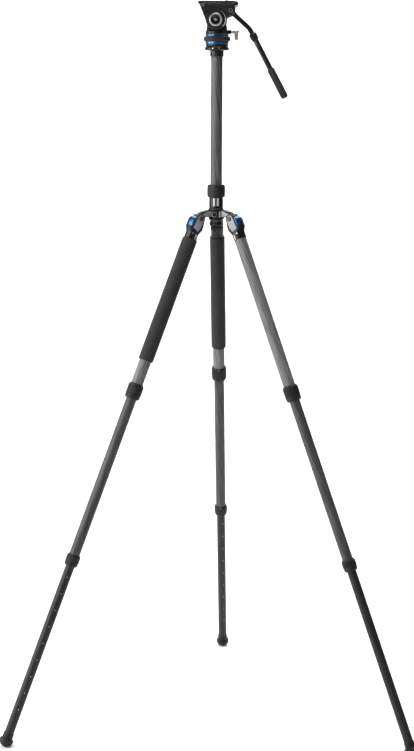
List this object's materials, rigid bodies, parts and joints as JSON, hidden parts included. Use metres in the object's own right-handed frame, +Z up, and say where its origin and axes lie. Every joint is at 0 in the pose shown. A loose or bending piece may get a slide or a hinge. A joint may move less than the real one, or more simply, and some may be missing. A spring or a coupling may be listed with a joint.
{
  "type": "camera tripod",
  "caption": "Free-standing camera tripod with twist-lock telescopic legs, a sliding centre column and a fluid pan-and-tilt head with a telescopic handle.",
  "frame": {"origin": "on the floor, midway between the feet in X and Y", "axes": "+Z up, +X the rear of the head on the handle side, the head points along -X, the column axis is at y = -153.6 mm"},
  "size_m": [1.0962, 0.9543, 1.9435],
  "materials": {
    "acetal": "white acetal",
    "black_anodised": "satin black anodised",
    "black_casting": "gloss black",
    "blue_anodised": "blue anodised",
    "carbon": "satin woven carbon",
    "foam": "matte foam",
    "foot_rubber": "matte black rubber",
    "grey_plastic": "satin",
    "grip_rubber": "matte rubber",
    "handle_black": "satin black",
    "lock_rubber": "ribbed black rubber",
    "spring_steel": "bright wire",
    "steel": "satin steel",
    "warm_alloy": "satin warm grey"
  },
  "bodies": {
    "shoulder": {"shoulder": "black_casting", "shoulder_screws": "steel", "leg_pivot_bolts": "steel", "column_bushing": "acetal"},
    "column_collar": {"column_lock_collar": "lock_rubber"},
    "column": {"column_tube": "carbon", "column_end_stop": "black_anodised", "column_platform": "black_anodised", "platform_screws": "steel", "head_stud": "steel", "head_base": "black_anodised", "lower_trim_ring": "blue_anodised"},
    "pan_drag": {"pan_drag_ring": "lock_rubber"},
    "pan": {"pan_housing": "black_anodised", "upper_trim_ring": "blue_anodised", "counterbalance_spring": "spring_steel"},
    "pan_lever": {"pan_lock_lever": "warm_alloy"},
    "cradle": {"tilt_cradle": "black_anodised", "tilt_axle": "steel", "tilt_drag_drum": "steel", "cradle_bolts": "steel"},
    "tilt_knob": {"tilt_drag_knob": "steel"},
    "tilt_lever": {"tilt_lock_lever": "steel"},
    "plate": {"quick_release_plate": "black_anodised"},
    "camera_bolt": {"camera_screw": "steel"},
    "plate_knob": {"plate_lock_knob": "black_anodised"},
    "release_button": {"plate_release_button": "grey_plastic"},
    "handle": {"handle_bar": "handle_black"},
    "handle_slide": {"handle_tube": "handle_black", "handle_grip": "grip_rubber"},
    "handle_collar": {"handle_lock_collar": "lock_rubber"},
    "left_leg": {"left_hinge_casting": "black_casting", "left_upper_tube": "carbon", "left_foam_grip": "foam"},
    "left_stop": {"left_angle_stop": "blue_anodised"},
    "left_upper_collar": {"left_upper_lock": "lock_rubber"},
    "left_middle": {"left_middle_tube": "carbon"},
    "left_lower_collar": {"left_lower_lock": "lock_rubber"},
    "left_lower": {"left_lower_tube": "carbon", "left_foot_sleeve": "black_anodised", "left_foot_pad": "foot_rubber"},
    "right_leg": {"right_hinge_casting": "black_casting", "right_upper_tube": "carbon"},
    "right_stop": {"right_angle_stop": "blue_anodised"},
    "right_upper_collar": {"right_upper_lock": "lock_rubber"},
    "right_middle": {"right_middle_tube": "carbon"},
    "right_lower_collar": {"right_lower_lock": "lock_rubber"},
    "right_lower": {"right_lower_tube": "carbon", "right_foot_sleeve": "black_anodised", "right_foot_pad": "foot_rubber"},
    "back_leg": {"back_hinge_casting": "black_casting", "back_upper_tube": "carbon", "back_foam_grip": "foam"},
    "back_stop": {"back_angle_stop": "blue_anodised"},
    "back_upper_collar": {"back_upper_lock": "lock_rubber"},
    "back_middle": {"back_middle_tube": "carbon"},
    "back_lower_collar": {"back_lower_lock": "lock_rubber"},
    "back_lower": {"back_lower_tube": "carbon", "back_foot_sleeve": "black_anodised", "back_foot_pad": "foot_rubber"}
  },
  "joints": [
    {"name": "column_lock_turn", "type": "hinge", "parent": "shoulder", "child": "column_collar", "pos_m": [0, -0.15357, 1.441], "axis": [0, 0, 1], "range_deg": [0, 90]},
    {"name": "column_rise", "type": "slide", "parent": "shoulder", "child": "column", "axis": [0, 0, 1], "range_m": [-0.33, 0]},
    {"name": "pan_drag_turn", "type": "hinge", "parent": "column", "child": "pan_drag", "pos_m": [0, -0.15357, 1.8405], "axis": [0, 0, 1], "range_deg": [0, 270]},
    {"name": "pan_turn", "type": "hinge", "parent": "column", "child": "pan", "pos_m": [0, -0.15357, 1.851], "axis": [0, 0, 1], "continuous": true},
    {"name": "pan_lock_turn", "type": "hinge", "parent": "pan", "child": "pan_lever", "pos_m": [0.044, -0.15357, 1.8586], "axis": [1, 0, 0], "range_deg": [-45, 90]},
    {"name": "tilt_turn", "type": "hinge", "parent": "pan", "child": "cradle", "pos_m": [-0.0017, -0.15357, 1.889], "axis": [0, 1, 0], "range_deg": [-70, 55]},
    {"name": "tilt_drag_turn", "type": "hinge", "parent": "cradle", "child": "tilt_knob", "pos_m": [-0.0017, -0.18957, 1.889], "axis": [0, -1, 0], "range_deg": [0, 270]},
    {"name": "tilt_lock_turn", "type": "hinge", "parent": "cradle", "child": "tilt_lever", "pos_m": [-0.0017, -0.18757, 1.889], "axis": [0, -1, 0], "range_deg": [-60, 0]},
    {"name": "plate_slide", "type": "slide", "parent": "cradle", "child": "plate", "axis": [1, 0, 0], "range_m": [-0.02, 0.005]},
    {"name": "camera_screw_turn", "type": "hinge", "parent": "plate", "child": "camera_bolt", "pos_m": [0.025, -0.15357, 1.938], "axis": [0, 0, 1], "continuous": true},
    {"name": "plate_lock_turn", "type": "hinge", "parent": "cradle", "child": "plate_knob", "pos_m": [0.0515, -0.18757, 1.9304], "axis": [0, -1, 0], "range_deg": [0, 180]},
    {"name": "release_push", "type": "slide", "parent": "cradle", "child": "release_button", "axis": [0, 0, 1], "range_m": [0, 0.002], "stiffness_N_per_m": 800, "springref_m": -0.001},
    {"name": "handle_turn", "type": "hinge", "parent": "cradle", "child": "handle", "pos_m": [0.0372, -0.10557, 1.9124], "axis": [0, 1, 0], "range_deg": [-45, 60]},
    {"name": "handle_extend", "type": "slide", "parent": "handle", "child": "handle_slide", "axis": [0.4695, 0, -0.8829], "range_m": [0, 0.088]},
    {"name": "handle_lock_turn", "type": "hinge", "parent": "handle_slide", "child": "handle_collar", "pos_m": [0.09593, -0.10557, 1.8487], "axis": [0.4695, 0, -0.8829], "range_deg": [0, 90]},
    {"name": "left_leg_spread", "type": "hinge", "parent": "shoulder", "child": "left_leg", "pos_m": [-0.04503, -0.17957, 1.371], "axis": [-0.5, 0.866, 0], "range_deg": [-22.3, 58]},
    {"name": "left_stop_pull", "type": "slide", "parent": "left_leg", "child": "left_stop", "axis": [-0.8013, -0.4626, 0.3795], "range_m": [0, 0.004], "stiffness_N_per_m": 900, "springref_m": -0.002},
    {"name": "left_upper_lock_turn", "type": "hinge", "parent": "left_leg", "child": "left_upper_collar", "pos_m": [-0.20846, -0.27393, 0.91879], "axis": [-0.3286, -0.1897, -0.9252], "range_deg": [0, 90]},
    {"name": "left_middle_slide", "type": "slide", "parent": "left_leg", "child": "left_middle", "axis": [-0.3286, -0.1897, -0.9252], "range_m": [-0.434, 0]},
    {"name": "left_lower_lock_turn", "type": "hinge", "parent": "left_middle", "child": "left_lower_collar", "pos_m": [-0.36423, -0.36386, 0.48024], "axis": [-0.3286, -0.1897, -0.9252], "range_deg": [0, 90]},
    {"name": "left_lower_slide", "type": "slide", "parent": "left_middle", "child": "left_lower", "axis": [-0.3286, -0.1897, -0.9252], "range_m": [-0.463, 0]},
    {"name": "right_leg_spread", "type": "hinge", "parent": "shoulder", "child": "right_leg", "pos_m": [0.04503, -0.17957, 1.371], "axis": [-0.5, -0.866, 0], "range_deg": [-22.3, 58]},
    {"name": "right_stop_pull", "type": "slide", "parent": "right_leg", "child": "right_stop", "axis": [0.8013, -0.4626, 0.3795], "range_m": [0, 0.004], "stiffness_N_per_m": 900, "springref_m": -0.002},
    {"name": "right_upper_lock_turn", "type": "hinge", "parent": "right_leg", "child": "right_upper_collar", "pos_m": [0.20846, -0.27393, 0.91879], "axis": [0.3286, -0.1897, -0.9252], "range_deg": [0, 90]},
    {"name": "right_middle_slide", "type": "slide", "parent": "right_leg", "child": "right_middle", "axis": [0.3286, -0.1897, -0.9252], "range_m": [-0.434, 0]},
    {"name": "right_lower_lock_turn", "type": "hinge", "parent": "right_middle", "child": "right_lower_collar", "pos_m": [0.36423, -0.36386, 0.48024], "axis": [0.3286, -0.1897, -0.9252], "range_deg": [0, 90]},
    {"name": "right_lower_slide", "type": "slide", "parent": "right_middle", "child": "right_lower", "axis": [0.3286, -0.1897, -0.9252], "range_m": [-0.463, 0]},
    {"name": "back_leg_spread", "type": "hinge", "parent": "shoulder", "child": "back_leg", "pos_m": [0, -0.10157, 1.371], "axis": [1, 0, 0], "range_deg": [-22.3, 58]},
    {"name": "back_stop_pull", "type": "slide", "parent": "back_leg", "child": "back_stop", "axis": [0, 0.9252, 0.3795], "range_m": [0, 0.004], "stiffness_N_per_m": 900, "springref_m": -0.002},
    {"name": "back_upper_lock_turn", "type": "hinge", "parent": "back_leg", "child": "back_upper_collar", "pos_m": [0, 0.08714, 0.91879], "axis": [0, 0.3795, -0.9252], "range_deg": [0, 90]},
    {"name": "back_middle_slide", "type": "slide", "parent": "back_leg", "child": "back_middle", "axis": [0, 0.3795, -0.9252], "range_m": [-0.434, 0]},
    {"name": "back_lower_lock_turn", "type": "hinge", "parent": "back_middle", "child": "back_lower_collar", "pos_m": [0, 0.267, 0.48024], "axis": [0, 0.3795, -0.9252], "range_deg": [0, 90]},
    {"name": "back_lower_slide", "type": "slide", "parent": "back_middle", "child": "back_lower", "axis": [0, 0.3795, -0.9252], "range_m": [-0.463, 0]}
  ]
}
